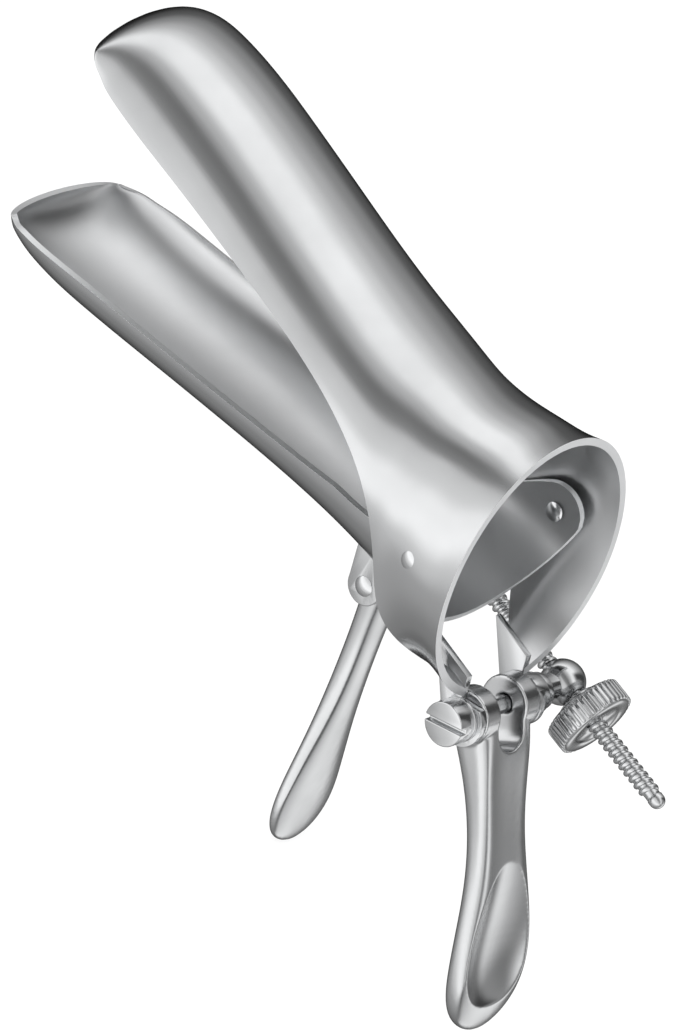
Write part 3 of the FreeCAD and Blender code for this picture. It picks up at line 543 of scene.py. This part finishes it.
thread_start = EYE_ROUND + EYE_NECK
thread_length = ROD_LENGTH - thread_start - THREAD_STOP
thread_sizes = {
    "Turns": thread_length / THREAD_PITCH, "Length": thread_length * MM,
    "Spiral radius": (ROD_ROUND - THREAD_HEIGHT) * MM, "Ridge radius": RIDGE_ROUND * MM}
thread = node_mesh("rod_thread", thread_tree(thread_sizes), thread_sizes, thread_metal)
thread.data.transform(frame_on(rod_foot + rod_way * thread_start, rod_way))
core_round = ROD_ROUND - THREAD_HEIGHT * 0.75
core = lathe("rod_core", [
    (ROD_ROUND, CORE_START), (ROD_ROUND, thread_start - 0.4), (core_round, thread_start + 0.2),
    (core_round, ROD_LENGTH - 0.5), (STEP_ROUND, ROD_LENGTH - 0.3), (STEP_ROUND, ROD_LENGTH)],
    rod_foot, rod_way)
core.data.materials.append(thread_metal)
for piece in (thread, core):
    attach(piece, "rod_group")
    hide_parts("threaded_rod")

# Rod stop: the plain domed tip that is left on the rod's end, so that the nut can't run off the thread.
# It is turned from the same stainless bar, and its dome closes with a small flat.
TIP_ROUND = ROD_ROUND * 0.88
TIP_STEM = 0.8
DOME_TURN = 1.5
dome_turns = np.linspace(0, DOME_TURN, 12)
dome = [(TIP_ROUND * math.cos(turn), TIP_STEM + TIP_ROUND * math.sin(turn)) for turn in dome_turns]
tip_profile = [(TIP_ROUND * 0.85, 0.0), (TIP_ROUND, 0.2)] + dome
tip = lathe("rod_tip", tip_profile, rod_foot + rod_way * ROD_LENGTH, rod_way)
tip.data.materials.append(thread_metal)
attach(tip, "rod_group")
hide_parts("rod_stop")

# Knurled nut: a thick disc with straight knurls on its rim, a hub against the ball and a shallow rear recess.
# The body is turned from stainless bar, and the knurls are ridges set round it by Geometry Nodes.
NUT_ROUND = 6.7
NUT_START = 3.75
NUT_BORE = 2.1
NUT_WALL = 4.4
NUT_SIDES = 120
HUB_ROUND = 3.5
HUB_LENGTH = 1.0
RIM_BREAK = 0.5
RECESS_ROUND = 4.0
RECESS_DEPTH = 0.6
KNURLS = 40
KNURL_DEPTH = 0.34
KNURL_BAR = (0.62, 0.66, NUT_WALL - 0.5)
nut_metal = steel(
    "knurled_stainless_nut", "#D8D9DA", "#C7C8C9",
    roughness=0.22, haze=0.05, grain=0.18, stretch=(8, 8, 1), depth=0.003)
disc_top = HUB_LENGTH + NUT_WALL
rim_round = NUT_ROUND - KNURL_DEPTH
rod_at_hinge = Vector((ROD_SIDE, HINGE.y, HINGE.z))
nut = lathe("nut_disc", [
    (NUT_BORE, 0.0), (HUB_ROUND - 0.2, 0.0), (HUB_ROUND, 0.2), (HUB_ROUND, HUB_LENGTH),
    (rim_round - RIM_BREAK, HUB_LENGTH), (rim_round, HUB_LENGTH + RIM_BREAK),
    (rim_round, disc_top - RIM_BREAK), (rim_round - RIM_BREAK, disc_top),
    (RECESS_ROUND + 0.25, disc_top), (RECESS_ROUND, disc_top - 0.25),
    (RECESS_ROUND - 0.1, disc_top - RECESS_DEPTH), (NUT_BORE + 0.25, disc_top - RECESS_DEPTH),
    (NUT_BORE, disc_top - RECESS_DEPTH - 0.2)],
    rod_at_hinge + rod_way * NUT_START, rod_way, NUT_SIDES)
nut.data.materials.append(nut_metal)


def knurl_tree(sizes):
    """Ring of rounded bars parallel to the nut's axis."""
    tree, size = sized_tree("knurls", sizes)
    box = add_node(tree, "ShaderNodeCombineXYZ", inputs={
        "X": size.outputs["Bar depth"], "Y": size.outputs["Bar width"], "Z": size.outputs["Bar length"]})
    bar = add_node(tree, "GeometryNodeMeshCube", inputs={
        "Size": box.outputs[0], "Vertices X": 2, "Vertices Y": 2, "Vertices Z": 2})
    soft = add_node(tree, "GeometryNodeSubdivisionSurface", inputs={
        "Mesh": bar.outputs["Mesh"], "Level": 2, "Edge Crease": 0.72})
    smooth = add_node(tree, "GeometryNodeSetShadeSmooth", inputs={0: soft.outputs[0]})
    ring = add_node(tree, "GeometryNodeMeshCircle", inputs={
        "Vertices": size.outputs["Knurls"], "Radius": size.outputs["Ring radius"]})
    spot = add_node(tree, "GeometryNodeInputIndex")
    turn = add_node(tree, "ShaderNodeMath", {"operation": "MULTIPLY"}, {
        0: spot.outputs[0], 1: size.outputs["Turn per knurl"]})
    aim = add_node(tree, "ShaderNodeCombineXYZ", inputs={"Z": turn.outputs[0]})
    spread = add_node(tree, "GeometryNodeInstanceOnPoints", inputs={
        "Points": ring.outputs[0], "Instance": smooth.outputs[0], "Rotation": aim.outputs[0]})
    return closed_tree(spread, nut_metal)


knurl_sizes = {
    "Bar depth": KNURL_BAR[0] * MM, "Bar width": KNURL_BAR[1] * MM, "Bar length": KNURL_BAR[2] * MM,
    "Knurls": KNURLS, "Ring radius": (rim_round + 0.02) * MM, "Turn per knurl": math.tau / KNURLS}
knurls = node_mesh("nut_knurls", knurl_tree(knurl_sizes), knurl_sizes, nut_metal)
disc_middle = NUT_START + HUB_LENGTH + NUT_WALL / 2
knurls.data.transform(frame_on(rod_at_hinge + rod_way * disc_middle, rod_way))
for piece in (nut, knurls):
    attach(piece, "nut_group")
    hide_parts("knurled_nut")

# Floor: a large sheet of white paper that the camera sees as nearly plain white, with the part's soft shadow.
# Mirror rays pass through it, so that the steel mirrors the studio's light and not the paper.
FLOOR_REACH = 6.0
floor_mesh = bpy.data.meshes.new("floor")
low = min(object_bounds()[0][2], cad_box[0][2])
corners = [(x, y, low) for x, y in ((-1, -1), (1, -1), (1, 1), (-1, 1))]
floor_mesh.from_pydata([(x * FLOOR_REACH, y * FLOOR_REACH, z) for x, y, z in corners], [], [(0, 1, 2, 3)])
floor = bpy.data.objects.new("floor", floor_mesh)
bpy.context.scene.collection.objects.link(floor)
paper = bpy.data.materials.new("white_paper_sweep")
paper.use_nodes = True
tree = paper.node_tree
matt = tree.nodes["Principled BSDF"]
matt.inputs["Base Color"].default_value = colour("#F4F4F4")
matt.inputs["Roughness"].default_value = 0.9
path = add_node(tree, "ShaderNodeLightPath")
glow = add_node(tree, "ShaderNodeEmission", inputs={"Color": (1, 1, 1, 1), "Strength": 1.1})
share = add_node(tree, "ShaderNodeMath", {"operation": "MULTIPLY"}, {0: path.outputs["Is Camera Ray"], 1: 0.8})
seen = add_node(tree, "ShaderNodeMixShader", inputs={
    0: share.outputs[0], 1: matt.outputs[0], 2: glow.outputs[0]})
clear = add_node(tree, "ShaderNodeBsdfTransparent")
kept = add_node(tree, "ShaderNodeMixShader", inputs={
    0: path.outputs["Is Glossy Ray"], 1: seen.outputs[0], 2: clear.outputs[0]})
tree.links.new(kept.outputs[0], tree.nodes["Material Output"].inputs["Surface"])
floor_mesh.materials.append(paper)

# Studio light: the steel mirrors soft strips that run along the blades, and the camera sees plain white.
# Behind the part a white card lights the rim and the handles, with a dark gap between it and the strips.
# A strip is a turn about the blades' axis in degrees and its light, a card stop a share and its light.
STRIPS = [
    (-180, 0.3), (-145, 0.5), (-128, 0.85), (-108, 1.45), (-86, 1.35), (-66, 0.95), (-50, 0.85), (-38, 0.3),
    (-26, 0.22), (-12, 0.65), (3, 1.3), (22, 1.35), (36, 0.95), (48, 0.65), (70, 0.35), (90, 0.12),
    (118, 0.01), (138, 0.02), (152, 0.1), (165, 0.2), (180, 0.3),
]
CARD_STOPS = [(0.0, 0.65), (0.42, 1.2), (0.62, 0.22), (0.85, 0.2)]


def light_ramp(tree, share, stops):
    """Ramp with soft steps through pairs of a share from 0 to 1 and a light."""
    item = add_node(tree, "ShaderNodeValToRGB", inputs={"Fac": share})
    item.color_ramp.interpolation = "EASE"
    marks = item.color_ramp.elements
    while len(marks) < len(stops):
        marks.new(0.5)
    for mark, (where, light) in zip(marks, stops):
        mark.position = where
    for mark, (where, light) in zip(marks, stops):
        mark.color = (light, light, light, 1)
    return item


world = bpy.data.worlds.new("studio")
bpy.context.scene.world = world
world.use_nodes = True
tree = world.node_tree
way = add_node(tree, "ShaderNodeTexCoord")
split = add_node(tree, "ShaderNodeSeparateXYZ", inputs={"Vector": way.outputs["Generated"]})
turn = add_node(tree, "ShaderNodeMath", {"operation": "ARCTAN2"}, {
    0: split.outputs["X"], 1: split.outputs["Z"]})
place = add_node(tree, "ShaderNodeMapRange", inputs={
    "Value": turn.outputs[0], "From Min": -math.pi, "From Max": math.pi})
strip_stops = [(degrees / 360 + 0.5, light) for degrees, light in STRIPS]
strips = light_ramp(tree, place.outputs["Result"], strip_stops)
to_right = add_node(tree, "ShaderNodeMapRange", {"interpolation_type": "SMOOTHSTEP"}, {
    "Value": split.outputs["X"], "From Min": 0.05, "From Max": 0.45})
card_place = add_node(tree, "ShaderNodeMapRange", inputs={
    "Value": split.outputs["Y"], "From Min": -1.0, "From Max": 0.0})
card = light_ramp(tree, card_place.outputs["Result"], CARD_STOPS)
card_share = add_node(tree, "ShaderNodeMapRange", {"interpolation_type": "SMOOTHSTEP"}, {
    "Value": split.outputs["Y"], "From Min": 0.1, "From Max": -0.2})
card_mask = add_node(tree, "ShaderNodeMath", {"operation": "MULTIPLY"}, {
    0: card_share.outputs["Result"], 1: to_right.outputs["Result"]})
card_top = add_node(tree, "ShaderNodeMapRange", {"interpolation_type": "SMOOTHSTEP"}, {
    "Value": split.outputs["Z"], "From Min": -0.15, "From Max": 0.2, "To Min": 1.0, "To Max": 0.3})
card_light = add_node(tree, "ShaderNodeVectorMath", {"operation": "SCALE"}, {
    0: card.outputs["Color"], "Scale": card_top.outputs["Result"]})
studio = add_node(tree, "ShaderNodeMix", {"data_type": "RGBA"}, {
    "Factor": card_mask.outputs[0], "A": strips.outputs["Color"], "B": card_light.outputs[0]})
path = add_node(tree, "ShaderNodeLightPath")
seen = add_node(tree, "ShaderNodeMix", {"data_type": "RGBA"}, {
    "Factor": path.outputs["Is Camera Ray"], "A": studio.outputs["Result"], "B": (1, 1, 1, 1)})
tree.links.new(seen.outputs["Result"], tree.nodes["Background"].inputs["Color"])
tree.nodes["Background"].inputs["Strength"].default_value = 1.0


LAMP_TARGET = Vector((0.0, 0.03, -0.01))


def soft_lamp(name, place, size, power):
    """Round lamp for the soft shadow on the paper; the steel doesn't mirror it."""
    lamp = bpy.data.lights.new(name, "AREA")
    lamp.shape = "DISK"
    lamp.size = size
    lamp.energy = power
    item = bpy.data.objects.new(name, lamp)
    item.location = place
    item.rotation_euler = (LAMP_TARGET - Vector(place)).to_track_quat("-Z", "Y").to_euler()
    item.visible_glossy = False
    bpy.context.scene.collection.objects.link(item)


soft_lamp("key", place=(-0.7, 0.3, 1.0), size=0.7, power=9.0)
soft_lamp("fill", place=(0.9, -0.5, 0.7), size=0.9, power=5.0)

# Camera: it stands high on the left behind the collar, rolled so that the blades rise to the upper left.
# The valves' rivet axis passes through the origin pixel, and the photograph's scale sets the lens.
PIXELS_PER_MM = 6.5
ORIGIN_PIXEL = (489.0, 534.0)
FRAME_PIXELS = (680, 1032)
CAMERA_DISTANCE = 2.5
CAMERA_REACH = 50.0
right = Vector((0.610, -0.574, 0.546)).normalized()
up = Vector((0.205, 0.781, 0.591))
up = (up - right * up.dot(right)).normalized()
toward = right.cross(up)
centre = right * ((FRAME_PIXELS[0] / 2 - ORIGIN_PIXEL[0]) / PIXELS_PER_MM * MM)
centre += up * ((ORIGIN_PIXEL[1] - FRAME_PIXELS[1] / 2) / PIXELS_PER_MM * MM)
lens_data = bpy.data.cameras.new("catalogue_view")
lens_data.lens = lens_data.sensor_width * CAMERA_DISTANCE / (FRAME_PIXELS[1] / PIXELS_PER_MM * MM)
lens_data.clip_end = CAMERA_REACH
camera = bpy.data.objects.new("catalogue_view", lens_data)
camera.matrix_world = Matrix((
    (right.x, up.x, toward.x, 0), (right.y, up.y, toward.y, 0), (right.z, up.z, toward.z, 0), (0, 0, 0, 1)))
camera.location = centre + toward * CAMERA_DISTANCE
bpy.context.scene.collection.objects.link(camera)
bpy.context.scene.camera = camera
bpy.context.scene.view_settings.view_transform = "Standard"
